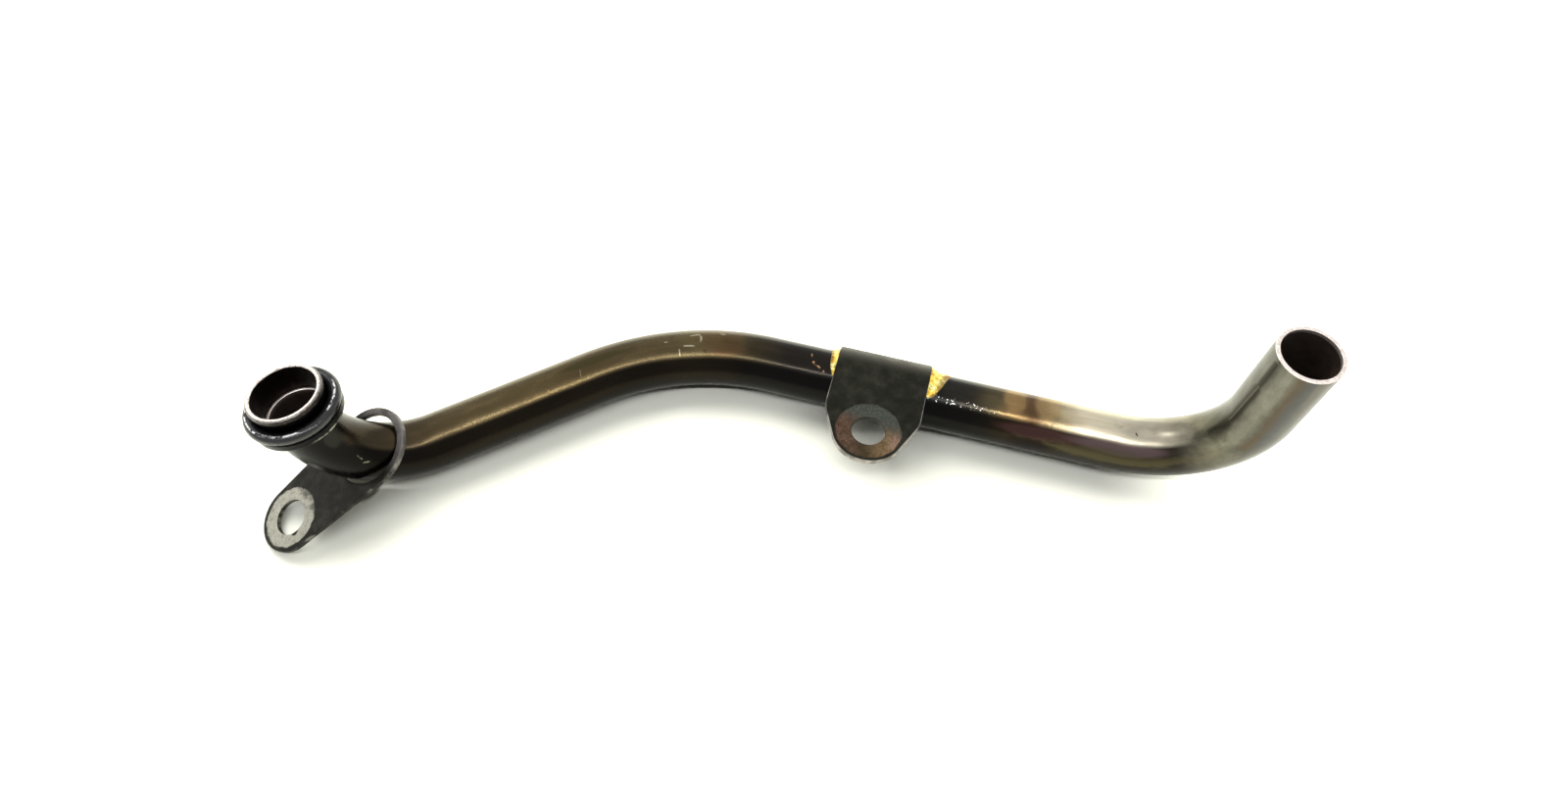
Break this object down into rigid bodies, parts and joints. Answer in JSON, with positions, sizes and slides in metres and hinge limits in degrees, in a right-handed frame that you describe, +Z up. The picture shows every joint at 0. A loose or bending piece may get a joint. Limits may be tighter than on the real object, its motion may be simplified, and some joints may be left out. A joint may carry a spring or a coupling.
{
  "type": "oil return pipe",
  "caption": "Bent steel pipe with a flanged, sealed spigot at one end, a loose clamp plate, a brazed saddle bracket and a plain end for a hose.",
  "frame": {"origin": "centre of the bolt hole in the saddle bracket, at mid-sheet", "axes": "+X from the spigot end to the hose end, +Z up from the surface that the pipe lies on, -Y the side with the bracket's ear"},
  "size_m": [0.2536, 0.0618, 0.0591],
  "materials": {
    "pipe_steel": "bare steel, heat tinted and stained",
    "spigot_steel": "turned, dark with oil, worn bright at the lip",
    "rubber": "black, wet with oil",
    "plate_steel": "dark phosphate, worn bare round the bolt hole",
    "bracket_steel": "dark, worn bare round the bolt hole",
    "braze": "bright, as run"
  },
  "bodies": {
    "root": {"pipe": "pipe_steel", "spigot": "spigot_steel", "o_ring": "rubber", "retaining_plate": "plate_steel", "saddle_bracket": "bracket_steel", "left_braze": "braze", "right_braze": "braze"}
  },
  "joints": []
}
